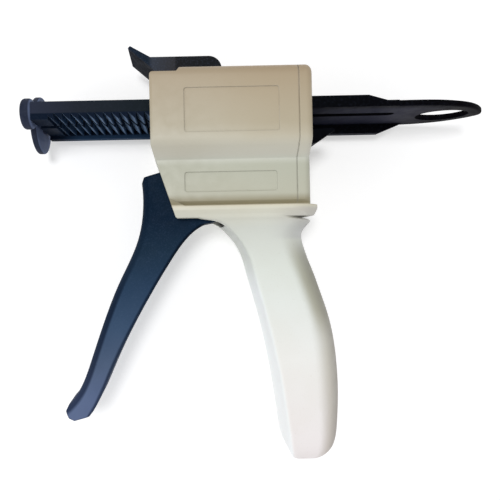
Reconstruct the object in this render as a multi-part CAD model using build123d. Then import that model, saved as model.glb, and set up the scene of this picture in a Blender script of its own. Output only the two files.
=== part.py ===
from build123d import *
import math
import os

# Hand-squeezed dispensing gun for two-barrel cartridges, in millimetres.
# While it is modelled, +X points to the rear loop, +Y to the top and +Z out of the left side.
# It is exported lying on its right side, with +Z up.

# Housing, from the front face at X = 0
wall = 2.5
seam_x = 60.2
cover_depth = 6.0
body_half = 24.0
waist_half = 18.0
lip_half = 20.0
top_y = 72.0
front_top_y = 69.5
front_top_length = 11.0
shoulder_y = 41.0
waist_top_y = 34.5
groove_y = 15.2
groove_depth = 1.4
groove_slope = 2.0
groove_end_length = 5.5
groove_end_height = 3.4
lip_bottom_y = 10.4
slant_top_y = 40.0
slant_foot_x = 9.7
lip_rear_x = 71.0
lip_rear_slope = 3.6
lip_tail_y = 14.6
lip_edge_y = 13.4
lip_undercut = 1.7
lip_foot_round = 1.4
top_corner = 4.0
front_round = 1.4
front_edge_round = 1.2
step_length = 1.6
rear_round = 2.8
seam_gap = 0.4
seam_depth = 0.5

# Grip: height, front edge, back edge and half width of each cross-section
grip_stations = [
    (12.9, 15.5, 69.9, 19.2),
    (8.5, 27.6, 68.8, 17.7),
    (3.0, 34.4, 65.3, 16.2),
    (-5.0, 39.5, 66.9, 15.1),
    (-17.0, 42.9, 71.3, 14.5),
    (-38.0, 48.3, 77.7, 14.1),
    (-60.0, 52.6, 80.1, 14.0),
    (-80.0, 55.4, 79.5, 13.8),
    (-89.0, 56.6, 77.9, 12.8),
    (-93.2, 57.9, 74.8, 10.6),
    (-95.0, 60.2, 71.2, 7.6),
]
grip_front_round = 1.8
grip_back_round = 12.0
grip_floor_y = -88.0
grip_step = 4.0

# Shallow panels on each side
panel_depth = 0.4
upper_panel = (13.9, 44.7, 52.3, 62.6)
lower_panel = (13.7, 21.1, 52.1, 29.3)
panel_corner = 1.0

# Cartridge seat at the front
opening_half = 20.8
opening_floor_y = 42.4
slot_front_x = 2.4
slot_width = 4.6
slot_half = 22.6
slot_floor_y = 41.4
guide_x = 10.5
guide_thickness = 2.2

# Plunger: two toothed rods that end in a finger loop
plunger_z = 1.65
rod_outer_half = 17.6
rod_gap = 4.5
near_rod_width = 11.0
rod_top_y = 59.5
rod_bottom_y = 54.7
rail_width = 4.0
rail_bottom_y = 50.3
tooth_height = 2.7
tooth_pitch = 3.4
tooth_flat = 0.5
tooth_root_overlap = 0.5
teeth_end_x = 62.0
plunger_front_x = -49.5
nose_length = 6.0
gap_end_x = 106.0
taper_start_x = 90.3
taper_end_x = 98.1
loop_plate_top_y = 57.2
loop_start_x = 103.0
rail_shoulder_x = 106.6
rail_end_x = 117.7
loop_tip_x = 146.6
loop_edge_round = 0.8
finger_hole_x = 129.2
finger_hole_length = 22.4
finger_hole_width = 17.2
slide_clearance = 0.4

# Pistons on the front ends of the rods
piston_y = 55.8
piston_front_x = -54.0
small_piston_thickness = 4.5
large_piston_thickness = 3.0
small_piston_rim = 1.5
large_piston_rim = 0.8
small_piston_radius = 6.4
large_piston_radius = 12.9
small_piston_z = 14.0
large_piston_z = -7.5
piston_hub_radius = 3.8
screw_recess = 1.6

# Trigger and its pivot
pivot = (23.5, 25.0)
trigger_half = 11.0
trigger_side_gap = 0.5
slot_low_y = 6.9
slot_top_y = 31.6
slot_back_x = 34.8
trigger_front_round = 3.8
trigger_rear_round = 1.6
hub_radius = 7.0
arm_half = 5.0
pin_radius = 2.5
trigger_pin_skin = 2.2
bush_wall = 1.5
bush_length = 4.5
running_clearance = 0.05
seat_clearance = 0.02

# Drive pawl on the arm of the trigger
pawl_pin_radius_from_pivot = 20.0
pawl_pin_angle = 52.0
pawl_pin_radius = 1.5
pawl_reach = 26.6
pawl_tip_angle = 75.0
pawl_right_z = -8.0
pawl_left_z = 14.0
cheek_gap = 0.3
cheek_thickness = 3.0

# Release lever under the rods at the rear
release_pivot = (54.0, 44.0)
release_right_z = -5.0
release_left_z = 11.5
release_hub_radius = 4.0
release_pin_radius = 2.0
housing_pin_skin = 2.6
release_nose_x = 39.6
release_nose_y = 51.6
release_tip_x = 78.6
release_tip_y = 47.4
window_gap = 0.6

# Latch lever over the cartridge slot
latch_pivot = (20.6, 68.5)
latch_half = 11.0
latch_heel_x = 30.6
latch_heel_round = 5.6
latch_heel_low_y = 70.9
latch_top_y = 80.0
latch_under_y = 72.6
latch_pin_radius = 1.5
latch_slot_rear_x = 25.0
latch_slot_floor_y = 66.0
latch_tab_x = -9.5
latch_tab_rise = 4.9
latch_tab_nose = 0.9
latch_shelf_x = 12.5
latch_lip_x = 3.2
latch_lip_rise = 2.6
latch_hub_radius = 5.0
latch_skin = 2.6
latch_side_gap = 0.4

# Screws that hold the two shells together
boss_radius = 3.2
boss_gap = 1.2
thin_boss_wall = 2.0
screw_radius = 1.25
screw_pass_gap = 0.2
head_gap = 0.3
screw_head_radius = 2.4
screw_head_height = 1.8
screw_head_sink = 0.4
pan_head_height = 1.4
drive_half = 1.6
drive_slot_half = 0.3
drive_depth = 0.8
shell_screws = [
    (38.0, 65.0, body_half),
    (49.5, 65.0, body_half),
    (54.0, 24.0, waist_half),
    (57.0, -14.0, 14.5),
    (63.0, -46.0, 14.0),
    (66.0, -80.0, 13.6),
]
screw_depth = 8.0
tail_round = 13.0
shoulder_round = 6.0

# Screws that hold the rear cover: height and distance from the middle
cover_screws_at = [(65.5, 18.8), (31.5, 12.8)]
cover_boss_radius = 3.0
cover_screw_length = 8.0

# Springs
spring_wire = 1.1
coil_pitch_share = 1.06
leaf_thickness = 0.5


# Plane of a side view, at the half width z
def side_plane(z):
    return Plane(origin=(0, 0, z), x_dir=(1, 0, 0), z_dir=(0, 0, 1))


# Solid with the side outline given, from z_low to z_high
def side_block(outline, z_low, z_high):
    face = make_face(Polyline(*outline, close=True))
    return extrude(side_plane(z_low) * face, z_high - z_low)


def box(x_low, x_high, y_low, y_high, z_low, z_high):
    size = (x_high - x_low, y_high - y_low, z_high - z_low)
    middle = ((x_high + x_low) / 2, (y_high + y_low) / 2, (z_high + z_low) / 2)
    return Pos(*middle) * Box(*size)


# Cylinder across the gun, from z_low to z_high
def cross_pin(centre, radius, z_low, z_high):
    return Pos(centre[0], centre[1], (z_low + z_high) / 2) * Cylinder(radius, z_high - z_low)


# Cylinder along the gun, from x_low to x_high
def long_pin(y, z, radius, x_low, x_high):
    return Pos((x_low + x_high) / 2, y, z) * Rot(0, 90, 0) * Cylinder(radius, x_high - x_low)


# Left half of the housing's cross-section above the lip, in Y and Z
def housing_section(inset):
    shift = inset * 0.45
    side = body_half - inset
    waist = waist_half - inset
    groove = min(waist, waist_half - groove_depth)
    points = [
        (groove_y - inset, 0),
        (groove_y - inset, groove),
        (groove_y + groove_slope, waist),
        (waist_top_y + shift, waist),
        (shoulder_y + shift, side),
        (top_y - inset, side),
        (top_y - inset, 0),
    ]
    section = Sketch() + make_face(Polyline(*points, close=True))
    section = fillet(side_corners(section, side)[-1], max(top_corner - inset, 1.0))
    return fillet(side_corners(section, side)[0], shoulder_round)


def side_corners(section, side):
    return section.vertices().filter_by_position(Axis.Y, side - 0.01, side + 0.01).sort_by(Axis.X)


def front_slant(y):
    return slant_foot_x * (slant_top_y - y) / (slant_top_y - lip_bottom_y)


# Left half of the housing above the lip, from the front face to the seam
def upper_half(inset):
    front = inset
    outline = [
        (front, slant_top_y),
        (front_slant(lip_bottom_y) + inset, lip_bottom_y),
        (seam_x + inset, lip_bottom_y),
        (seam_x + inset, top_y),
        (front_top_length + step_length, top_y),
        (front_top_length, front_top_y),
        (front, front_top_y),
    ]
    side = make_face(Polyline(*outline, close=True))
    top_corners = side.vertices().sort_by(Axis.Y)[-4:].sort_by(Axis.X)[:2]
    side = fillet(top_corners[0], front_round)
    prism = extrude(Plane.YZ * housing_section(inset), seam_x + inset)
    return prism & extrude(side_plane(0) * side, body_half) & upper_plan(inset)


# Upright block with the housing's outline from above, whose front corner is round
def upper_plan(inset):
    low = Plane(origin=(0, lip_bottom_y, 0), x_dir=(1, 0, 0), z_dir=(0, -1, 0))
    reach = body_half - inset
    far_x = seam_x + inset
    plan = make_face(Polyline((inset, 0), (far_x, 0), (far_x, reach), (inset, reach), close=True))
    front_corner = plan.vertices().sort_by(Axis.Y)[-2:].sort_by(Axis.X)[0]
    return extrude(low * fillet(front_corner, front_edge_round), lip_bottom_y - top_y)


# Wedge that closes the groove's front end, flush with the lip and the side
def groove_end():
    top_y_here = groove_y + groove_end_height
    side = [
        (front_slant(groove_y), groove_y),
        (front_slant(groove_y) + groove_end_length, groove_y),
        (front_slant(top_y_here), top_y_here),
    ]
    section = make_face(Polyline(
        (groove_y, 0),
        (groove_y, lip_half),
        (top_y_here, waist_half),
        (top_y_here, 0),
        close=True,
    ))
    return side_block(side, 0, lip_half) & extrude(Plane.YZ * section, seam_x)


# Left half of the lip, which ends in a tail above the web of the hand
def lip_half_block():
    side = [
        (front_slant(lip_bottom_y), lip_bottom_y),
        (lip_rear_x - lip_rear_slope, lip_bottom_y),
        (lip_rear_x, lip_tail_y),
        (lip_rear_x, groove_y),
        (front_slant(groove_y), groove_y),
    ]
    outline = make_face(Polyline(*side, close=True))
    outline = fillet(outline.vertices().sort_by(Axis.Y)[:2].sort_by(Axis.X)[0], lip_foot_round)
    section = make_face(Polyline(
        (groove_y, 0),
        (groove_y, lip_half),
        (lip_edge_y, lip_half),
        (lip_bottom_y, lip_half - lip_undercut),
        (lip_bottom_y, 0),
        close=True,
    ))
    bar = extrude(Plane.YZ * section, lip_rear_x + 2) & extrude(side_plane(0) * outline, lip_half)
    return bar & lip_plan()


# Upright block with the lip's outline from above, whose rear corner is round
def lip_plan():
    top = Plane(origin=(0, groove_y, 0), x_dir=(1, 0, 0), z_dir=(0, -1, 0))
    plan = make_face(Polyline((-1, 0), (lip_rear_x, 0), (lip_rear_x, lip_half), (-1, lip_half), close=True))
    rear_corner = plan.vertices().sort_by(Axis.Y)[-2:].sort_by(Axis.X)[-1]
    return extrude(top * fillet(rear_corner, tail_round), groove_y - lip_bottom_y)


# Half of one cross-section of the grip, looking down
def grip_section(y, front, back, half, inset):
    low = front + inset
    high = back - inset
    side = half - inset
    corner = max(min(grip_front_round, half * 0.3) - inset, 0.8)
    heel = min(grip_back_round, (back - front) * 0.45) - inset
    front_edge = Line((low, 0), (low, side - corner))
    front_corner = CenterArc((low + corner, side - corner), corner, 180, -90)
    side_edge = Line((low + corner, side), (high - heel, side))
    back_corner = EllipticalCenterArc((high - heel, 0), heel, side, start_angle=0, arc_size=90)
    middle_edge = Line((high, 0), (low, 0))
    face = make_face([front_edge, front_corner, side_edge, back_corner, middle_edge])
    return Plane(origin=(0, y, 0), x_dir=(1, 0, 0), z_dir=(0, -1, 0)) * face


# Front edge, back edge and half width of the grip at a height, on smooth curves through the stations
def grip_at(y):
    rows = grip_stations
    last = len(rows) - 2
    index = next((i for i in range(last) if rows[i + 1][0] <= y), last)
    above = rows[max(index - 1, 0)]
    top = rows[index]
    low = rows[index + 1]
    below = rows[min(index + 2, last + 1)]
    share = (y - top[0]) / (low[0] - top[0])
    values = []
    for column in (1, 2, 3):
        step = low[0] - top[0]
        slope_top = (low[column] - above[column]) / (low[0] - above[0]) * step
        slope_low = (below[column] - top[column]) / (below[0] - top[0]) * step
        rise = low[column] - top[column]
        bend = 3 * rise - 2 * slope_top - slope_low
        twist = slope_top + slope_low - 2 * rise
        values.append(top[column] + share * (slope_top + share * (bend + share * twist)))
    return values


def grip_loft(heights, inset):
    return loft([grip_section(y, *grip_at(y), inset) for y in heights])


def grip_half(inset):
    top = grip_stations[0][0]
    floor = grip_floor_y
    steps = round((top - floor) / grip_step)
    heights = [top + (floor - top) * number / steps for number in range(steps + 1)]
    body = grip_loft(heights, inset)
    if inset > 0:
        return body
    return body + grip_loft([floor, *[row[0] for row in grip_stations if row[0] < floor]], inset)


# Boss with the reach given, from the middle of the gun to inside the wall
def boss(centre, radius, low, reach):
    return cross_pin(centre, radius, low, reach - 1.0)


# Left shell without its screw holes; the right shell is its mirror image
def shell_half():
    outer = upper_half(0) + groove_end() + lip_half_block() + grip_half(0)
    inner = upper_half(wall) + grip_half(wall)
    front_block = box(0, guide_x + guide_thickness, opening_floor_y - wall, top_y, 0, body_half)
    web = box(0, guide_x + guide_thickness, slot_top_y, opening_floor_y, 0, body_half)
    neck_y, neck_x = grip_stations[1][:2]
    neck_wall = box(0, neck_x + wall, neck_y, groove_y - wall, 0, body_half)
    inner = inner - front_block - web - neck_wall
    shell = outer - inner
    bosses = [boss((x, y), boss_radius, 0, reach) for x, y, reach in shell_screws]
    bosses.append(boss(pivot, pin_radius + bush_wall + 1.5, trigger_half + boss_gap, waist_half))
    bosses.append(boss(release_pivot, release_hub_radius, release_left_z + boss_gap, body_half))
    bosses.append(boss(latch_pivot, latch_pin_radius + thin_boss_wall, latch_half + boss_gap, body_half))
    for y, z in cover_screws_at:
        bosses.append(long_pin(y, z, cover_boss_radius, seam_x - cover_screw_length, seam_x))
    for post in bosses:
        shell = shell + (post & outer)
    shell = shell - front_openings() - moving_openings() - side_panels()
    return shell


# Room for the cartridge's barrels, its flange and the pistons
def front_openings():
    barrel = box(-1, guide_x, opening_floor_y, top_y + 5, -1, opening_half)
    flange = box(slot_front_x, slot_front_x + slot_width, slot_floor_y, top_y + 5, -1, slot_half)
    return barrel + flange


# Room for the rods, the trigger and the latch lever
def moving_openings():
    rods = rod_window(guide_x - 1, guide_x + guide_thickness + 1)
    slot_half_width = trigger_half + trigger_side_gap
    trigger_slot = box(-5, slot_back_x, slot_low_y, slot_top_y, -1, slot_half_width)
    latch_side = latch_half + latch_side_gap
    latch_slot = box(front_top_length - 1, latch_slot_rear_x, latch_slot_floor_y, top_y + 5, -1, latch_side)
    latch_heel = cross_pin(latch_pivot, latch_sweep() + latch_side_gap, -1, latch_side)
    latch_heel = latch_heel & box(20, 40, latch_pivot[1] - 5, top_y + 5, -1, latch_side)
    piston_hole = long_pin(
        piston_y,
        small_piston_z,
        small_piston_radius + slide_clearance,
        guide_x - 1,
        guide_x + guide_thickness + 1,
    )
    return rods + trigger_slot + latch_slot + latch_heel + piston_hole


# Reach of the latch lever's heel as it turns
def latch_sweep():
    across = latch_heel_x - latch_heel_round - latch_pivot[0]
    up = latch_top_y - latch_heel_round - latch_pivot[1]
    return math.hypot(across, up) + latch_heel_round


# Rectangle that both rods slide through, with clearance all round
def rod_window(x_low, x_high):
    gap = slide_clearance
    reach = rod_outer_half + gap
    return box(x_low, x_high, rail_bottom_y - gap, rod_top_y + gap, plunger_z - reach, plunger_z + reach)


# Shallow panels in the outside of the left half
def side_panels():
    cuts = []
    for panel, surface in ((upper_panel, body_half), (lower_panel, waist_half)):
        x_low, y_low, x_high, y_high = panel
        cut = box(x_low, x_high, y_low, y_high, surface - panel_depth, surface + 1)
        cuts.append(fillet(cut.edges().filter_by(Axis.Z), panel_corner))
    return cuts[0] + cuts[1]


def pin_holes():
    gap = seat_clearance
    rows = [
        (pivot, pin_radius, trigger_pin_half()),
        (release_pivot, release_pin_radius, release_pin_half()),
        (latch_pivot, latch_pin_radius, release_pin_half()),
    ]
    holes = [cross_pin(centre, radius + gap, -reach - 0.2, reach + 0.2) for centre, radius, reach in rows]
    return holes[0] + holes[1] + holes[2]


def trigger_pin_half():
    return waist_half - trigger_pin_skin


def release_pin_half():
    return body_half - housing_pin_skin


def cover_screw_holes(side):
    x_high = seam_x + 1
    x_low = seam_x - cover_screw_length + 0.6
    radius = screw_radius + seat_clearance
    return [long_pin(y, side * z, radius, x_low, x_high) for y, z in cover_screws_at]


def left_shell():
    shell = shell_half() - pin_holes() - cover_screw_holes(1)
    for x, y, reach in shell_screws:
        shell -= cross_pin((x, y), screw_radius + seat_clearance, -1, screw_depth)
    return shell


def right_shell():
    shell = mirror(shell_half(), Plane.XY) - pin_holes() - cover_screw_holes(-1)
    shell -= rod_window(guide_x - 1, guide_x + guide_thickness + 1)
    for x, y, reach in shell_screws:
        shell -= cross_pin((x, y), screw_radius + screw_pass_gap, -reach - 1, 1)
        shell -= cross_pin((x, y), screw_head_radius + head_gap, -reach - 1, screw_seat(reach))
    return shell


# Height at which a housing screw's head rests in the right shell
def screw_seat(reach):
    return -reach + screw_head_height + screw_head_sink


# Cross-slotted screw that enters from the right side
def screw(x, y, reach):
    seat = screw_seat(reach)
    head = cross_pin((x, y), screw_head_radius, seat - screw_head_height, seat)
    shank = cross_pin((x, y), screw_radius, seat, screw_depth - 0.5)
    face = seat - screw_head_height
    low, high = face - 1, face + drive_depth
    drive = box(x - drive_half, x + drive_half, y - drive_slot_half, y + drive_slot_half, low, high)
    cross = box(x - drive_slot_half, x + drive_slot_half, y - drive_half, y + drive_half, low, high)
    return head + shank - drive - cross


def housing_screws():
    return Compound([screw(*row).solid() for row in shell_screws])


# Part of the rear cover between two places along the gun, both halves
def cover_slab(x_low, x_high, inset):
    section = Plane(origin=(x_low, 0, 0), x_dir=(0, 1, 0), z_dir=(1, 0, 0)) * housing_section(inset)
    half = extrude(section, x_high - x_low)
    return half + mirror(half, Plane.XY)


# Cap that closes both shells at the rear, with windows for the rods and the release lever
def rear_cover():
    rear_x = seam_x + cover_depth
    outer = cover_slab(seam_x + seam_gap, rear_x, 0)
    rear_face = outer.faces().sort_by(Axis.X)[-1]
    above_groove = rear_face.outer_wire().edges().filter_by(lambda e: e.center().Y > groove_y + groove_slope)
    outer = fillet(above_groove, rear_round)
    above_lip = box(seam_x, rear_x, groove_y, top_y, -body_half, body_half)
    outer += cover_slab(seam_x, seam_x + seam_gap, seam_depth) & above_lip
    cover = outer - cover_slab(seam_x, rear_x - wall, wall)
    seat = rear_x - screw_recess
    for side in (-1, 1):
        for y, z in cover_screws_at:
            post = long_pin(y, side * z, cover_boss_radius, seam_x, rear_x - wall)
            cover += post & outer
            cover -= long_pin(y, side * z, screw_radius + screw_pass_gap, seam_x - 1, rear_x + 1)
            cover -= long_pin(y, side * z, screw_head_radius + head_gap, seat, rear_x + 1)
    cover -= rod_window(seam_x - 1, rear_x + 1)
    return cover - release_window()


def release_window():
    gap = window_gap
    low = release_pivot[1] - release_hub_radius - gap
    far_x = seam_x + cover_depth + 1
    return box(seam_x - 1, far_x, low, rod_bottom_y, release_right_z - gap, release_left_z + gap)


def cover_screws():
    seat = seam_x + cover_depth - screw_recess
    screws = []
    for side in (-1, 1):
        for y, z in cover_screws_at:
            middle = side * z
            face = seat + pan_head_height
            head = long_pin(y, middle, screw_head_radius, seat, face)
            shank = long_pin(y, middle, screw_radius, seam_x - cover_screw_length + 1, seat)
            low, high = middle - drive_slot_half, middle + drive_slot_half
            slot = box(face - drive_depth, face + 1, y - drive_half, y + drive_half, low, high)
            screws.append((head + shank - slot).solid())
    return Compound(screws)


# Rods
def near_rod_span():
    return plunger_z + rod_outer_half - near_rod_width, plunger_z + rod_outer_half


def far_rod_span():
    return plunger_z - rod_outer_half, near_rod_span()[0] - rod_gap


def rod_body(span):
    outline = [
        (plunger_front_x, rod_bottom_y),
        (plunger_front_x, rod_top_y),
        (taper_start_x, rod_top_y),
        (taper_end_x, loop_plate_top_y),
        (loop_start_x, loop_plate_top_y),
        (loop_start_x, rod_bottom_y),
    ]
    nose = box(plunger_front_x, teeth_start_x() + 1, rod_bottom_y - tooth_height, rod_bottom_y + 1, *span)
    return side_block(outline, *span) + nose


# As many teeth as fit behind the nose
def tooth_count():
    return int((teeth_end_x - plunger_front_x - nose_length) / tooth_pitch)


def teeth_start_x():
    return teeth_end_x - tooth_count() * tooth_pitch


# Row of saw teeth whose steep faces look to the rear
def tooth_row(z_low, z_high):
    crest = rod_bottom_y - tooth_height
    outline = [(teeth_start_x(), rod_bottom_y + tooth_root_overlap)]
    for number in range(tooth_count()):
        root = teeth_start_x() + number * tooth_pitch
        outline.append((root, rod_bottom_y))
        outline.append((root + tooth_pitch - tooth_flat, crest))
        outline.append((root + tooth_pitch, crest))
    outline.append((teeth_end_x, rod_bottom_y + tooth_root_overlap))
    return side_block(outline, z_low, z_high)


def rail(span):
    outline = [
        (plunger_front_x, rod_bottom_y + 1),
        (plunger_front_x, rail_bottom_y),
        (rail_shoulder_x, rail_bottom_y),
        (rail_end_x, rod_bottom_y),
        (rail_end_x, rod_bottom_y + 1),
    ]
    return side_block(outline, span[0], span[0] + rail_width)


# Point on the loop's edge: share of its length from its start, share of its half width
def loop_edge(along, across):
    return loop_start_x + (loop_tip_x - loop_start_x) * along, rod_outer_half * across


# Flat plate with the finger hole, drawn from above
def loop_plate():
    top = Plane(origin=(0, loop_plate_top_y, plunger_z), x_dir=(1, 0, 0), z_dir=(0, -1, 0))
    shares = [(0, 1), (0.38, 0.98), (0.63, 0.83), (0.83, 0.56), (1, 0)]
    shape = [loop_edge(along, across) for along, across in shares]
    curve = Spline(*shape, tangents=[(1, 0), (0, -1)], tangent_scalars=[1, 0.6])
    back = Polyline(
        (loop_start_x, rod_outer_half),
        (taper_start_x, rod_outer_half),
        (taper_start_x, -rod_outer_half),
        (loop_start_x, -rod_outer_half),
    )
    plate = extrude(top * make_face([curve, mirror(curve, Plane.XZ), back]), loop_plate_top_y - rod_bottom_y)
    plate = fillet(plate.edges().filter_by(lambda e: e.center().X > loop_start_x), loop_edge_round)
    oval = top * Pos(finger_hole_x, 0) * Ellipse(finger_hole_length / 2, finger_hole_width / 2)
    return plate - extrude(oval, rod_outer_half, both=True)


def plunger():
    near = near_rod_span()
    far = far_rod_span()
    body = rod_body(near) + rod_body(far) + rail(far) + loop_plate()
    body += tooth_row(*near)
    body += tooth_row(far[0] + rail_width, far[1])
    middle = (near[0] + far[1]) / 2
    body -= box(plunger_front_x - 1, gap_end_x - rod_gap / 2, 40, 70, far[1], near[0])
    body -= Pos(gap_end_x - rod_gap / 2, 56, middle) * Rot(90, 0, 0) * Cylinder(rod_gap / 2, 20)
    for z in (small_piston_z, large_piston_z):
        body -= long_pin(piston_y, z, screw_radius + seat_clearance, plunger_front_x - 1, teeth_start_x())
    return body


def piston(radius, thickness, rim, z):
    disc = long_pin(piston_y, z, radius, piston_front_x, piston_front_x + thickness)
    disc = fillet(disc.edges(), rim)
    hub = long_pin(piston_y, z, piston_hub_radius, piston_front_x + thickness / 2, plunger_front_x)
    seat = piston_front_x + screw_recess
    recess = long_pin(piston_y, z, screw_head_radius + head_gap, piston_front_x - 1, seat)
    bore = long_pin(piston_y, z, screw_radius + screw_pass_gap, piston_front_x - 1, plunger_front_x + 1)
    return disc + hub - recess - bore


def piston_screws():
    seat = piston_front_x + screw_recess
    screws = []
    for z in (small_piston_z, large_piston_z):
        face = seat - pan_head_height
        head = long_pin(piston_y, z, screw_head_radius, face, seat)
        shank = long_pin(piston_y, z, screw_radius, seat, teeth_start_x() - 0.6)
        low, high = z - drive_slot_half, z + drive_slot_half
        slot = box(face - 1, face + drive_depth, piston_y - drive_half, piston_y + drive_half, low, high)
        screws.append((head + shank - slot).solid())
    return Compound(screws)


# Point at the radius and angle given from the trigger's pivot
def about_pivot(radius, angle):
    turn = math.radians(angle)
    return pivot[0] + radius * math.cos(turn), pivot[1] + radius * math.sin(turn)


# Side view of the trigger: front edge, foot, rear edge and the top inside the housing
def trigger_outline():
    brow = (-4.9, 26.0)
    toe = (-38.6, -69.2)
    heel = (-27.6, -71.6)
    web = (22.6, 8.1)
    front = [(-4.6, 16.0), (-7.1, 1.7), (-15.2, -15.9), (-22.4, -33.1), (-28.6, -50.6), (-33.6, -62.6)]
    foot = [(-39.5, -71.4), (-38.0, -74.3), (-35.7, -75.4), (-29.4, -73.8)]
    rear = [(-25.3, -67.6), (-19.4, -54.8), (-11.3, -38.5), (-2.3, -22.7), (8.2, -6.0), (15.5, 3.2)]
    inside = [(26.6, 8.8), (29.0, 11.5), (30.4, 23.0), (23.5, 31.9), (12.0, 31.1), (3.0, 30.4), (-3.8, 28.5)]
    curves = [Spline(brow, *front, toe), Polyline(toe, *foot, heel), Spline(heel, *rear, web)]
    return make_face([*curves, Polyline(web, *inside, brow)])


def trigger():
    blade = extrude(side_plane(-trigger_half) * trigger_outline(), 2 * trigger_half)
    blade = fillet(long_edges(blade, -60.0, -15.0), trigger_front_round)
    blade = fillet(long_edges(blade, -15.0, 10.0), trigger_rear_round)
    hub = cross_pin(pivot, hub_radius, -trigger_half, trigger_half)
    tip = about_pivot(pawl_pin_radius_from_pivot, pawl_pin_angle)
    across = (math.sin(math.radians(pawl_pin_angle)), -math.cos(math.radians(pawl_pin_angle)))
    sides = [(pivot, 6.5), (tip, 4.4), (tip, -4.4), (pivot, -6.5)]
    arm = side_block([(p[0] + across[0] * d, p[1] + across[1] * d) for p, d in sides], -arm_half, arm_half)
    arm += cross_pin(tip, 4.4, -arm_half, arm_half)
    body = blade + hub + arm
    body -= cross_pin(pivot, pin_radius + 0.2, -20, 20)
    for side in (-1, 1):
        low, high = sorted((side * (trigger_half - bush_length), side * (trigger_half + 1)))
        body -= cross_pin(pivot, pin_radius + bush_wall + seat_clearance, low, high)
    return body - cross_pin(tip, pawl_pin_radius + seat_clearance, -20, 20)


# Long edges of the trigger's blade whose middles lie between two places along the gun
def long_edges(blade, x_low, x_high):
    sides = [e for e in blade.edges() if abs(abs(e.center().Z) - trigger_half) < 0.01]
    return [e for e in sides if e.length > 80 and x_low < e.center().X < x_high]


def trigger_bushes():
    rings = []
    for side in (-1, 1):
        low, high = sorted((side * (trigger_half - bush_length), side * (trigger_half + 0.8)))
        ring = cross_pin(pivot, pin_radius + bush_wall, low, high)
        rings.append((ring - cross_pin(pivot, pin_radius + running_clearance, -20, 20)).solid())
    return Compound(rings)


# Coil of round wire about a cross pin
def coil(centre, radius, wire, z_low, turns):
    pitch = wire * coil_pitch_share
    path = Helix(pitch, pitch * turns, radius)
    start = Plane(origin=path @ 0, z_dir=path % 0)
    wound = sweep(start * Circle(wire / 2), path=path)
    return Pos(centre[0], centre[1], z_low + wire / 2) * wound


def trigger_spring():
    return coil(pivot, hub_radius - 0.7, spring_wire, trigger_half + boss_gap, 1.75)


def drive_pawl():
    pin = about_pivot(pawl_pin_radius_from_pivot, pawl_pin_angle)
    tip = about_pivot(pawl_reach, pawl_tip_angle)
    outline = [
        (pin[0] - 3.4, pin[1] + 0.8),
        (tip[0] - 1.8, tip[1] - 1.8),
        (tip[0] - 1.4, tip[1] - 0.2),
        tip,
        (tip[0] + 2.4, tip[1] - 1.5),
        (pin[0] + 3.4, pin[1] + 1.2),
    ]
    cheek_low = arm_half + cheek_gap
    cheek_high = cheek_low + cheek_thickness
    body = side_block(outline, pawl_right_z, pawl_left_z)
    body -= cross_pin(pin, 5.2, -cheek_low, cheek_low)
    body -= cross_pin(pin, 5.2, cheek_high, 20)
    for low, high in ((cheek_low, cheek_high), (pawl_right_z, -cheek_low)):
        body += cross_pin(pin, 3.5, low, high)
    return body - cross_pin(pin, pawl_pin_radius + running_clearance, -20, 20)


def pawl_pin():
    pin = about_pivot(pawl_pin_radius_from_pivot, pawl_pin_angle)
    return cross_pin(pin, pawl_pin_radius, pawl_right_z - 3.2, arm_half + cheek_gap + cheek_thickness + 0.4)


def pawl_spring():
    pin = about_pivot(pawl_pin_radius_from_pivot, pawl_pin_angle)
    return coil(pin, pawl_pin_radius + 0.65, 0.7, pawl_right_z - 3.0, 3)


def release_lever():
    nose = (release_nose_x, release_nose_y)
    low = release_pivot[1] - release_hub_radius
    outline = [
        nose,
        (nose[0] + 1.6, nose[1]),
        (release_pivot[0] - 3.0, release_pivot[1] + 3.6),
        (release_pivot[0] + 6.0, release_pivot[1] + 3.1),
        (release_tip_x - 1.0, release_tip_y + 0.5),
        (release_tip_x, release_tip_y - 0.4),
        (release_tip_x - 8.0, release_tip_y - 5.6),
        (release_pivot[0] + 9.0, low),
        (release_pivot[0] - 1.5, low + 0.2),
        (nose[0], nose[1] - 2.0),
    ]
    body = side_block(outline, release_right_z, release_left_z)
    body += cross_pin(release_pivot, release_hub_radius, release_right_z, release_left_z)
    return body - cross_pin(release_pivot, release_pin_radius + running_clearance, -20, 20)


def release_spring():
    return coil(release_pivot, release_pin_radius + 0.95, 0.9, release_right_z - 6.6, 5)


# Lever over the cartridge slot: a thumb tab in front and a rounded heel behind its pin
def latch_lever():
    x, y = latch_pivot
    arc_x = latch_heel_x - latch_heel_round
    arc_y = latch_top_y - latch_heel_round
    tab_y = latch_top_y + latch_tab_rise
    heel = CenterArc((arc_x, arc_y), latch_heel_round, 90, -90)
    rim = Polyline(
        (latch_heel_x, arc_y),
        (latch_heel_x, latch_heel_low_y),
        (x + latch_hub_radius, y - 1.0),
        (x, y - latch_hub_radius),
        (x - latch_hub_radius, y - 1.0),
        (latch_shelf_x, latch_under_y),
        (latch_lip_x, latch_under_y),
        (latch_lip_x - latch_lip_rise, latch_under_y + latch_lip_rise),
        (latch_tab_x, tab_y - latch_tab_nose),
        (latch_tab_x + latch_tab_nose, tab_y),
        (0, latch_top_y),
        (arc_x, latch_top_y),
    )
    body = extrude(side_plane(-latch_half) * make_face([heel, rim]), 2 * latch_half)
    inner = latch_half - latch_skin
    body -= box(latch_lip_x + 0.8, x + latch_hub_radius + 1, y - 10, latch_top_y - latch_skin, -inner, inner)
    return body - cross_pin(latch_pivot, latch_pin_radius + running_clearance, -20, 20)


def latch_spring():
    wall_x = guide_x + guide_thickness
    top = latch_pivot[1] - latch_hub_radius - 0.6
    return box(wall_x, latch_pivot[0] + 1, top - leaf_thickness, top, -6, 6)


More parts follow.
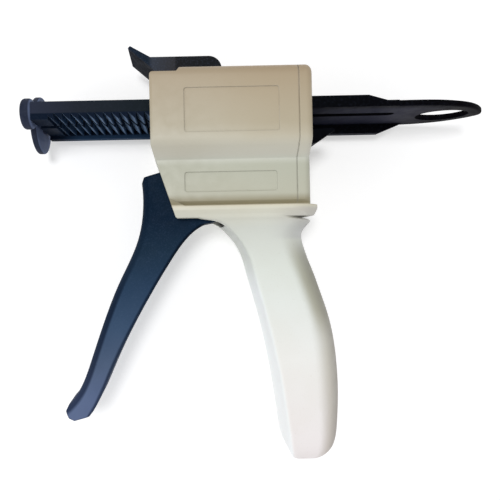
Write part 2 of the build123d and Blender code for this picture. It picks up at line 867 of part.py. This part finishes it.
# Bowed leaf that presses on the left rod from under two screw bosses
def plunger_brake():
    first = shell_screws[0][0] - 2.0
    last = shell_screws[1][0] + 2.0
    middle = (first + last) / 2
    high = shell_screws[0][1] - boss_radius - 0.05
    low = rod_top_y + 0.35
    outline = [
        (first, high),
        (middle - 2, low + leaf_thickness),
        (middle + 2, low + leaf_thickness),
        (last, high),
        (last, high - leaf_thickness),
        (middle + 2, low),
        (middle - 2, low),
        (first, high - leaf_thickness),
    ]
    near = near_rod_span()
    return side_block(outline, near[0] + 0.5, near[1] - 0.5)


def all_pieces():
    return {
        "left_shell": left_shell(),
        "right_shell": right_shell(),
        "rear_cover": rear_cover(),
        "housing_screws": housing_screws(),
        "cover_screws": cover_screws(),
        "plunger": plunger(),
        "small_piston": piston(
            small_piston_radius, small_piston_thickness, small_piston_rim, small_piston_z
        ),
        "large_piston": piston(
            large_piston_radius, large_piston_thickness, large_piston_rim, large_piston_z
        ),
        "piston_screws": piston_screws(),
        "trigger": trigger(),
        "trigger_bushes": trigger_bushes(),
        "trigger_pin": cross_pin(pivot, pin_radius, -trigger_pin_half(), trigger_pin_half()),
        "trigger_spring": trigger_spring(),
        "drive_pawl": drive_pawl(),
        "pawl_pin": pawl_pin(),
        "pawl_spring": pawl_spring(),
        "release_lever": release_lever(),
        "release_pin": cross_pin(release_pivot, release_pin_radius, -release_pin_half(), release_pin_half()),
        "release_spring": release_spring(),
        "latch_lever": latch_lever(),
        "latch_pin": cross_pin(latch_pivot, latch_pin_radius, -release_pin_half(), release_pin_half()),
        "latch_spring": latch_spring(),
        "plunger_brake": plunger_brake(),
    }


# Lay the gun on its right side, with its middle over the origin
def placement(pieces):
    box_all = Compound([solid for shape in pieces.values() for solid in shape.solids()]).bounding_box()
    middle = box_all.center()
    return -middle.X, -middle.Y, -box_all.min.Z


pieces = all_pieces()
shift = placement(pieces)
os.makedirs("parts", exist_ok=True)
for name, shape in pieces.items():
    export_step(Pos(*shift) * shape, f"parts/{name}.step")
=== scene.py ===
import math

import bpy
from mathutils import Matrix, Vector


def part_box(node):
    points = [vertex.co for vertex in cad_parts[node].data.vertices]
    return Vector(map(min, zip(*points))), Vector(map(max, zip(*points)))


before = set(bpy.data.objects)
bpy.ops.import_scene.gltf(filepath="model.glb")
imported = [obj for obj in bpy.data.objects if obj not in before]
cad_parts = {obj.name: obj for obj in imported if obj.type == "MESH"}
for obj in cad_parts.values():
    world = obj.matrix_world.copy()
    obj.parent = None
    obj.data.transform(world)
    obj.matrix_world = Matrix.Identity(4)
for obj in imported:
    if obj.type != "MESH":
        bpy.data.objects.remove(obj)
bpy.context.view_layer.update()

# The gun's own millimetres: from the front face, from the middle of the picture up, from the split plane
housing_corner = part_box("left_shell")[0]
grip_depth = 95.0
millimetre = 0.001


def gun_x(length):
    return housing_corner[0] + length * millimetre


def gun_y(length):
    return housing_corner[1] + (length + grip_depth) * millimetre


def gun_z(length):
    return housing_corner[2] + length * millimetre


# Camera, as the lines of perspective in the photograph give it, in pixels and millimetres
picture_pixels = 500.0
focal_pixels = 495.0
vanishing_x = 180.0
vanishing_y = 243.0
roll_degrees = 1.2
sensor_width = 36.0
nearest_seen = 0.01
camera_place = (11.15, 0.0, 223.25)


def add_camera():
    data = bpy.data.cameras.new("camera")
    data.sensor_width = sensor_width
    data.lens = sensor_width * focal_pixels / picture_pixels
    data.shift_x = (picture_pixels / 2 - vanishing_x) / picture_pixels
    data.shift_y = (vanishing_y - picture_pixels / 2) / picture_pixels
    data.clip_start = nearest_seen
    camera = bpy.data.objects.new("camera", data)
    roll = math.radians(roll_degrees)
    right = Vector((math.cos(roll), -math.sin(roll), 0))
    up = Vector((math.sin(roll), math.cos(roll), 0))
    turn = Matrix((right, up, Vector((0, 0, 1)))).transposed().to_4x4()
    place = Vector((gun_x(camera_place[0]), gun_y(camera_place[1]), gun_z(camera_place[2])))
    camera.matrix_world = Matrix.Translation(place) @ turn
    bpy.context.collection.objects.link(camera)
    bpy.context.scene.camera = camera


# White table, far larger than the object, that glows a little
table_reach = 3.0
table_drop = 0.0002
table_colour = (0.80, 0.80, 0.805, 1)
table_roughness = 0.9
table_gloss = 0.1
table_glow = 0.36


def add_floor():
    mesh = bpy.data.meshes.new("floor")
    reach = table_reach
    corners = [(-reach, -reach), (reach, -reach), (reach, reach), (-reach, reach)]
    mesh.from_pydata([(x, y, -table_drop) for x, y in corners], [], [(0, 1, 2, 3)])
    floor = bpy.data.objects.new("floor", mesh)
    bpy.context.collection.objects.link(floor)
    material = bpy.data.materials.new("white_table")
    material.use_nodes = True
    shader = material.node_tree.nodes["Principled BSDF"]
    shader.inputs["Base Color"].default_value = table_colour
    shader.inputs["Roughness"].default_value = table_roughness
    shader.inputs["Specular IOR Level"].default_value = table_gloss
    shader.inputs["Emission Color"].default_value = (1, 1, 1, 1)
    shader.inputs["Emission Strength"].default_value = table_glow
    mesh.materials.append(material)


# Studio light: a small key lamp above, a cool wide fill from the lower left and an even white surround
lamp_target = (0.0, 0.0, 0.02)
key_place = (-0.15, 0.13, 0.88)
key_size = 0.2
key_power = 3.35
key_colour = (1, 1, 1)
fill_place = (-0.75, -0.45, 0.35)
fill_size = 0.6
fill_power = 1.3
fill_colour = (0.90, 0.95, 1.0)
surround_colour = (1.0, 1.0, 1.0, 1)
surround_strength = 0.50


def add_area_light(name, place, size, power, colour):
    data = bpy.data.lights.new(name, "AREA")
    data.shape = "DISK"
    data.size = size
    data.energy = power
    data.color = colour
    light = bpy.data.objects.new(name, data)
    light.location = place
    direction = Vector(lamp_target) - Vector(place)
    light.rotation_euler = direction.to_track_quat("-Z", "Y").to_euler()
    bpy.context.collection.objects.link(light)


def add_lights():
    add_area_light("key", key_place, key_size, key_power, key_colour)
    add_area_light("left_fill", fill_place, fill_size, fill_power, fill_colour)
    world = bpy.data.worlds.new("studio")
    bpy.context.scene.world = world
    world.use_nodes = True
    background = world.node_tree.nodes["Background"]
    background.inputs["Color"].default_value = surround_colour
    background.inputs["Strength"].default_value = surround_strength
    bpy.context.scene.view_settings.view_transform = "Standard"


# Linear colour from display values between 0 and 255, by the sRGB curve
def tone(red, green, blue):
    values = (red / 255, green / 255, blue / 255)
    return tuple(v / 12.92 if v <= 0.04045 else ((v + 0.055) / 1.055) ** 2.4 for v in values)


# A node material in the making
class Recipe:
    # Edges: cosines of the turn between the rounded and the true normal where the edge mask begins and is
    # full; it carries patchy wear with painted highlights and, on the trigger, painted dark edges
    bevel_samples = 6
    flat_cosine = 0.995
    edge_cosine = 0.65
    # Blotches that change the roughness up and down by the spread
    blotch_scale = 240.0
    blotch_detail = 3.0
    blotch_low = 0.3
    blotch_high = 0.7
    roughness_spread = 0.08
    # Grain
    grain_detail = 2.0
    bump_strength = 0.5
    # Places of the colour sockets among those of the mix node
    mix_first = 6
    mix_second = 7
    mix_result = 2

    def __init__(self, name, roughness, gloss):
        self.material = bpy.data.materials.new(name)
        self.material.use_nodes = True
        self.tree = self.material.node_tree
        self.shader = self.tree.nodes["Principled BSDF"]
        self.shader.inputs["Specular IOR Level"].default_value = gloss
        self.roughness = roughness
        texture_place = self.tree.nodes.new("ShaderNodeTexCoord")
        self.place = texture_place.outputs["Object"]
        self.x, self.y, self.z = self.parts(self.place)
        self.normal_x, self.normal_y, self.normal_z = self.parts(texture_place.outputs["Normal"])

    def node(self, kind, **settings):
        made = self.tree.nodes.new(kind)
        for key, value in settings.items():
            setattr(made, key, value)
        return made

    def link(self, source, target):
        self.tree.links.new(source, target)

    def parts(self, vector):
        split = self.node("ShaderNodeSeparateXYZ")
        self.link(vector, split.inputs["Vector"])
        return [split.outputs[axis] for axis in "XYZ"]

    # Share from 0 to 1 as the source goes from low to high
    def share(self, source, low, high, smooth=True):
        made = self.node("ShaderNodeMapRange")
        made.interpolation_type = "SMOOTHSTEP" if smooth else "LINEAR"
        made.inputs["From Min"].default_value = low
        made.inputs["From Max"].default_value = high
        self.link(source, made.inputs["Value"])
        return made.outputs["Result"]

    # The same between two places of the gun, in millimetres
    def share_x(self, low, high):
        return self.share(self.x, gun_x(low), gun_x(high))

    def share_y(self, low, high):
        return self.share(self.y, gun_y(low), gun_y(high))

    def share_z(self, low, high):
        return self.share(self.z, gun_z(low), gun_z(high))

    # 1 between two heights of the gun, 0 outside, with soft ends
    def band_y(self, low, high, soft):
        return self.times(self.share_y(low - soft, low + soft), self.share_y(high + soft, high - soft))

    def combine(self, operation, first, second):
        made = self.node("ShaderNodeMath", operation=operation)
        for index, value in enumerate((first, second)):
            if isinstance(value, (int, float)):
                made.inputs[index].default_value = value
            else:
                self.link(value, made.inputs[index])
        return made.outputs["Value"]

    def times(self, first, *others):
        for other in others:
            first = self.combine("MULTIPLY", first, other)
        return first

    # From the lowest value to that and the rise as the share goes from 0 to 1
    def between(self, lowest, rise, share):
        return self.combine("ADD", self.times(share, rise), lowest)

    def noise(self, scale, detail, stretch=(1, 1, 1)):
        vector = self.place
        if stretch != (1, 1, 1):
            mapping = self.node("ShaderNodeMapping")
            mapping.inputs["Scale"].default_value = stretch
            self.link(self.place, mapping.inputs["Vector"])
            vector = mapping.outputs["Vector"]
        made = self.node("ShaderNodeTexNoise")
        made.inputs["Scale"].default_value = scale
        made.inputs["Detail"].default_value = detail
        self.link(vector, made.inputs["Vector"])
        return made.outputs["Fac"]

    # Spots of noise: 0 where it is below low and 1 where it is above high
    def spots(self, scale, low, high, detail=3.0, stretch=(1, 1, 1)):
        return self.share(self.noise(scale, detail, stretch), low, high)

    # Colour that changes along one axis; the stops are pairs of place and colour
    def along(self, source, stops):
        low = stops[0][0]
        high = stops[-1][0]
        ramp = self.node("ShaderNodeValToRGB")
        ramp.color_ramp.interpolation = "LINEAR"
        elements = ramp.color_ramp.elements
        while len(elements) < len(stops):
            elements.new(0.5)
        for element, (place, colour) in zip(elements, stops):
            element.position = (place - low) / (high - low)
            element.color = (*tone(*colour), 1)
        self.link(self.share(source, low, high, smooth=False), ramp.inputs["Fac"])
        return ramp.outputs["Color"]

    def along_x(self, stops):
        return self.along(self.x, [(gun_x(place), colour) for place, colour in stops])

    def along_y(self, stops):
        return self.along(self.y, [(gun_y(place), colour) for place, colour in stops])

    # Second colour over the first where the mask is 1
    def over(self, first, second, mask, blend="MIX"):
        made = self.node("ShaderNodeMix", data_type="RGBA", blend_type=blend)
        for place, value in ((self.mix_first, first), (self.mix_second, second)):
            if isinstance(value, tuple):
                made.inputs[place].default_value = (*value, 1)
            else:
                self.link(value, made.inputs[place])
        self.link(mask, made.inputs["Factor"])
        return made.outputs[self.mix_result]

    def multiply(self, first, second, mask):
        return self.over(first, second, mask, "MULTIPLY")

    # Normals as if each edge were rounded by the radius
    def rounded_normals(self, radius):
        bevel = self.node("ShaderNodeBevel")
        bevel.samples = self.bevel_samples
        bevel.inputs["Radius"].default_value = radius
        return bevel.outputs["Normal"]

    # 1 on edges and corners, 0 on flat faces
    def edges(self, radius):
        geometry = self.node("ShaderNodeNewGeometry")
        dot = self.node("ShaderNodeVectorMath", operation="DOT_PRODUCT")
        self.link(self.rounded_normals(radius), dot.inputs[0])
        self.link(geometry.outputs["Normal"], dot.inputs[1])
        return self.share(dot.outputs["Value"], self.flat_cosine, self.edge_cosine)

    # Blotchy roughness, a fine grain and softened edges under the finished colour
    def finish(self, colour, grain_scale, grain_depth, rounding):
        self.link(colour, self.shader.inputs["Base Color"])
        rough = self.node("ShaderNodeMapRange")
        rough.inputs["From Min"].default_value = self.blotch_low
        rough.inputs["From Max"].default_value = self.blotch_high
        rough.inputs["To Min"].default_value = self.roughness - self.roughness_spread
        rough.inputs["To Max"].default_value = self.roughness + self.roughness_spread
        self.link(self.noise(self.blotch_scale, self.blotch_detail), rough.inputs["Value"])
        self.link(rough.outputs["Result"], self.shader.inputs["Roughness"])
        bump = self.node("ShaderNodeBump")
        bump.inputs["Strength"].default_value = self.bump_strength
        bump.inputs["Distance"].default_value = grain_depth
        self.link(self.noise(grain_scale, self.grain_detail), bump.inputs["Height"])
        self.link(self.rounded_normals(rounding), bump.inputs["Normal"])
        self.link(bump.outputs["Normal"], self.shader.inputs["Normal"])
        return self.material


# Cream plastic of the housing: beige at the top, grey-green in the middle, nearly white at the foot; the
# ramp is partly the plastic's own tone and partly painted light, with painted shade in the groove above
# the lip and a painted highlight on the crease and shoulders
def housing_plastic():
    recipe = Recipe("housing_plastic", roughness=0.46, gloss=0.35)
    colour = recipe.along_y([
        (-95.0, (246, 239, 239)),
        (-50.0, (244, 244, 241)),
        (-26.0, (233, 237, 232)),
        (-12.0, (225, 230, 223)),
        (6.0, (211, 214, 206)),
        (14.0, (217, 215, 199)),
        (15.2, (220, 214, 192)),
        # painted shade in the groove above the lip
        (15.6, (150, 142, 116)),
        (17.6, (160, 154, 130)),
        (20.0, (190, 190, 173)),
        (32.0, (186, 188, 172)),
        # painted highlight on the crease, and the lighter shoulders above it are painted light
        (34.3, (202, 204, 192)),
        (36.0, (204, 202, 190)),
        (42.0, (202, 198, 182)),
        (48.0, (190, 182, 161)),
        (66.0, (183, 169, 145)),
        (72.0, (171, 154, 130)),
    ])
    colour = recipe.multiply(colour, tone(246, 245, 244), recipe.share_x(45.0, 5.0))
    upper_rear = recipe.times(recipe.share_x(15.0, 50.0), recipe.share_y(38.0, 44.0))
    colour = recipe.multiply(colour, tone(246, 242, 236), upper_rear)
    rear_lip = recipe.times(recipe.share_x(46.0, 66.0), recipe.band_y(1.0, 14.0, 1.0))
    colour = recipe.multiply(colour, tone(236, 234, 240), rear_lip)
    # painted shade: the grip's faces are darker the more they face backwards
    grip_back_painted_shade = recipe.along(recipe.normal_x, [
        (0.05, (255, 255, 255)),
        (0.5, (222, 219, 212)),
        (0.8, (184, 180, 172)),
        (1.0, (146, 140, 132)),
    ])
    colour = recipe.multiply(colour, grip_back_painted_shade, recipe.share_y(4.0, -8.0))
    # painted shade in the hollow of the grip, on faces turned backwards
    palm_hollow_painted_shade = recipe.times(recipe.share(recipe.normal_x, 0.05, 0.5), recipe.band_y(-36.0, -10.0, 8.0))
    colour = recipe.multiply(colour, tone(226, 224, 216), palm_hollow_painted_shade)
    # painted light: cool pale tone on the grip's forward-facing faces
    grip_front_painted_light = recipe.times(recipe.share(recipe.normal_x, -0.2, -0.8), recipe.share_y(-6.0, -24.0), 0.8)
    colour = recipe.over(colour, tone(247, 251, 252), grip_front_painted_light)
    mottle = recipe.times(recipe.spots(45.0, 0.35, 0.65, detail=4.0), 0.12)
    colour = recipe.multiply(colour, tone(236, 230, 216), mottle)
    speck = recipe.times(recipe.spots(1600.0, 0.62, 0.75, detail=2.0), 0.12)
    colour = recipe.multiply(colour, tone(200, 190, 168), speck)
    # patchy edge wear, made paler as a painted highlight on the edges
    worn_edge_and_highlight = recipe.times(recipe.edges(0.0006), recipe.spots(90.0, 0.3, 0.6), 0.35)
    colour = recipe.over(colour, tone(236, 233, 222), worn_edge_and_highlight)
    return recipe.finish(colour, grain_scale=2200.0, grain_depth=0.00003, rounding=0.0006)


# Navy plastic of the trigger, lighter and violet towards its foot, with a fine spark-eroded grain
def trigger_plastic():
    recipe = Recipe("trigger_plastic", roughness=0.55, gloss=0.03)
    colour = recipe.along_y([
        (-75.0, (98, 112, 145)),
        (-65.0, (92, 107, 139)),
        (-52.0, (80, 96, 122)),
        (-36.0, (60, 81, 108)),
        (-19.0, (42, 64, 89)),
        (-3.0, (26, 46, 65)),
        (10.0, (13, 32, 51)),
        (28.0, (12, 30, 47)),
    ])
    speck = recipe.times(recipe.spots(1900.0, 0.45, 0.75, detail=2.0), 0.06)
    colour = recipe.over(colour, tone(96, 116, 156), speck)
    cloud = recipe.times(recipe.spots(60.0, 0.35, 0.65), 0.22)
    colour = recipe.multiply(colour, tone(206, 210, 218), cloud)
    # painted shade on the trigger's forward-facing rounded front, stronger towards the foot
    depth = recipe.between(0.25, 0.75, recipe.share_y(5.0, -30.0))
    front_edge_painted_shade = recipe.times(recipe.share(recipe.normal_x, -0.08, -0.4), depth)
    colour = recipe.multiply(colour, tone(134, 140, 152), front_edge_painted_shade)
    # painted shade on the trigger's backward-facing rear
    rear_edge_painted_shade = recipe.times(recipe.share(recipe.normal_x, 0.08, 0.4), 0.9)
    colour = recipe.multiply(colour, tone(140, 146, 158), rear_edge_painted_shade)
    # painted shade: dark lines along the trigger's edges
    colour = recipe.multiply(colour, tone(120, 120, 135), recipe.times(recipe.edges(0.0012), 0.6))
    return recipe.finish(colour, grain_scale=1900.0, grain_depth=0.00005, rounding=0.0006)


# Painted light and shade on the underside of the rods' rear end: tones from the housing to the tip of the
# loop, darkened towards the near and far sides
def rear_underside_painted_light(recipe):
    colour = recipe.along_x([
        (62.0, (36, 38, 52)),
        (98.0, (42, 43, 56)),
        (108.0, (54, 54, 66)),
        (128.0, (28, 26, 30)),
        (147.0, (14, 10, 14)),
    ])
    colour = recipe.multiply(colour, tone(96, 98, 106), recipe.share_z(13.5, 19.2))
    return recipe.multiply(colour, tone(150, 160, 172), recipe.share_z(-4.0, -16.0))


# Near-black plastic of the rods and the loop, bluer towards the front end
def rod_plastic():
    recipe = Recipe("rod_plastic", roughness=0.5, gloss=0.01)
    colour = recipe.along_x([
        (-54.0, (48, 53, 70)),
        (-30.0, (35, 40, 49)),
        (0.0, (26, 33, 38)),
        (60.0, (8, 10, 13)),
        (100.0, (8, 8, 12)),
        (150.0, (8, 6, 9)),
    ])
    front = recipe.share_x(70.0, 50.0)
    below_rods = recipe.share_y(54.9, 54.4)
    front_rack = recipe.times(below_rods, front)
    behind_nose = recipe.share_x(-46.0, -34.0)
    below_teeth = recipe.share_y(52.1, 51.9)
    off_tooth_ends = recipe.combine("MAXIMUM", recipe.share(recipe.normal_z, 0.9, 0.5), below_teeth)
    # painted shade: darker navy on the rack below the rods at the front
    colour = recipe.over(colour, tone(16, 26, 42), front_rack)
    # painted light on the tooth faces that do not face upwards, behind the nose
    colour = recipe.over(colour, tone(36, 57, 82), recipe.times(front_rack, behind_nose, off_tooth_ends))
    # painted light: the downward-facing rear underside gets these paler tones
    rear = recipe.times(recipe.share(recipe.normal_y, -0.3, -0.9), recipe.share_x(56.0, 68.0))
    colour = recipe.over(colour, rear_underside_painted_light(recipe), rear)
    # painted highlight on the forward-facing tooth flanks below the rods, dimmed as painted shade near
    # the housing
    flank_painted_highlight = recipe.times(recipe.share(recipe.normal_x, -0.3, -0.6), below_rods)
    flank_painted_highlight = recipe.times(flank_painted_highlight, recipe.between(0.6, 0.35, recipe.share_x(8.0, -24.0)))
    colour = recipe.over(colour, tone(104, 126, 154), flank_painted_highlight)
    speck = recipe.times(recipe.spots(900.0, 0.45, 0.75, detail=2.0), 0.08)
    colour = recipe.over(colour, tone(60, 66, 84), speck)
    # patchy edge wear at the front, made paler as a painted highlight on the edges
    worn_edge_and_highlight = recipe.times(recipe.edges(0.0004), recipe.spots(120.0, 0.35, 0.6), front, 0.35)
    colour = recipe.over(colour, tone(96, 108, 128), worn_edge_and_highlight)
    return recipe.finish(colour, grain_scale=1200.0, grain_depth=0.00003, rounding=0.0004)


# Dark violet plastic of the pistons, with painted light making their rear faces paler
def piston_plastic():
    recipe = Recipe("piston_plastic", roughness=0.45, gloss=0.02)
    colour = recipe.over(tone(40, 46, 62), tone(52, 57, 74), recipe.spots(150.0, 0.35, 0.65))
    colour = recipe.over(colour, tone(96, 108, 138), recipe.share(recipe.normal_x, 0.3, 0.8))
    speck = recipe.times(recipe.spots(900.0, 0.5, 0.75, detail=2.0), 0.08)
    colour = recipe.over(colour, tone(96, 102, 128), speck)
    # painted highlight on the edges
    colour = recipe.over(colour, tone(104, 104, 124), recipe.times(recipe.edges(0.0005), 0.3))
    return recipe.finish(colour, grain_scale=1500.0, grain_depth=0.00002, rounding=0.0004)


# Latch lever: grey on its front half, darker behind, speckled navy on the tab
def latch_plastic():
    recipe = Recipe("latch_plastic", roughness=0.5, gloss=0.01)
    colour = recipe.along_x([
        (-10.0, (28, 38, 52)),
        (-1.0, (28, 38, 50)),
        (1.0, (58, 63, 73)),
        (10.2, (55, 55, 58)),
        (11.4, (34, 35, 37)),
        (34.0, (29, 31, 34)),
    ])
    # painted shade: darker and bluer on faces turned downwards
    colour = recipe.multiply(colour, tone(150, 158, 180), recipe.share(recipe.normal_y, -0.2, -0.6))
    speck = recipe.times(recipe.spots(1400.0, 0.48, 0.7, detail=2.0), 0.14)
    colour = recipe.over(colour, tone(92, 100, 126), speck)
    # painted highlight on the edges
    colour = recipe.over(colour, tone(110, 116, 130), recipe.times(recipe.edges(0.0005), 0.25))
    return recipe.finish(colour, grain_scale=1500.0, grain_depth=0.00005, rounding=0.0005)


# Black plastic of the release lever
def lever_plastic():
    recipe = Recipe("lever_plastic", roughness=0.45, gloss=0.01)
    colour = recipe.over(tone(5, 6, 9), tone(9, 11, 16), recipe.spots(120.0, 0.35, 0.65))
    # faint painted highlight on the edges
    colour = recipe.over(colour, tone(80, 84, 96), recipe.times(recipe.edges(0.0004), 0.05))
    return recipe.finish(colour, grain_scale=1300.0, grain_depth=0.00003, rounding=0.0004)


# Slippery white plastic of the bushes
def bush_plastic():
    recipe = Recipe("bush_plastic", roughness=0.35, gloss=0.4)
    colour = recipe.over(tone(228, 228, 220), tone(214, 212, 200), recipe.spots(200.0, 0.35, 0.65))
    return recipe.finish(colour, grain_scale=1500.0, grain_depth=0.00001, rounding=0.0003)


# Drawn, turned or hardened steel, with streaks along one axis and darker stains
def steel(name, bright, dull, roughness, stretch=(1, 1, 1)):
    recipe = Recipe(name, roughness, gloss=0.5)
    recipe.shader.inputs["Metallic"].default_value = 1.0
    streak = recipe.spots(500.0, 0.3, 0.7, stretch=stretch)
    colour = recipe.over(tone(*bright), tone(*dull), streak)
    stain = recipe.times(recipe.spots(160.0, 0.58, 0.72, detail=4.0), 0.35)
    colour = recipe.over(colour, tone(96, 90, 84), stain)
    return recipe.finish(colour, grain_scale=1800.0, grain_depth=0.00001, rounding=0.0002)


def give(material, *nodes):
    for name in nodes:
        piece = bpy.data.objects[name]
        if not piece.material_slots:
            piece.data.materials.append(material)
        for place in piece.material_slots:
            place.material = material


def dress_nodes():
    give(housing_plastic(), "left_shell", "right_shell", "rear_cover")
    give(trigger_plastic(), "trigger")
    give(rod_plastic(), "plunger")
    give(piston_plastic(), "small_piston", "large_piston")
    give(lever_plastic(), "release_lever")
    give(latch_plastic(), "latch_lever")
    give(bush_plastic(), "trigger_bushes")
    zinc = steel("zinc_steel", (196, 198, 202), (164, 166, 170), roughness=0.3)
    give(zinc, "housing_screws", "cover_screws", "piston_screws")
    ground = steel("ground_steel", (188, 190, 192), (150, 152, 155), roughness=0.22, stretch=(1, 1, 0.15))
    give(ground, "trigger_pin", "pawl_pin", "release_pin", "latch_pin")
    wire = steel("spring_steel", (142, 144, 148), (110, 112, 116), roughness=0.3)
    give(wire, "trigger_spring", "pawl_spring", "release_spring", "latch_spring", "plunger_brake")
    hardened = steel("hard_steel", (112, 110, 108), (78, 76, 76), roughness=0.38, stretch=(0.2, 1, 1))
    give(hardened, "drive_pawl")


add_camera()
add_floor()
add_lights()
dress_nodes()
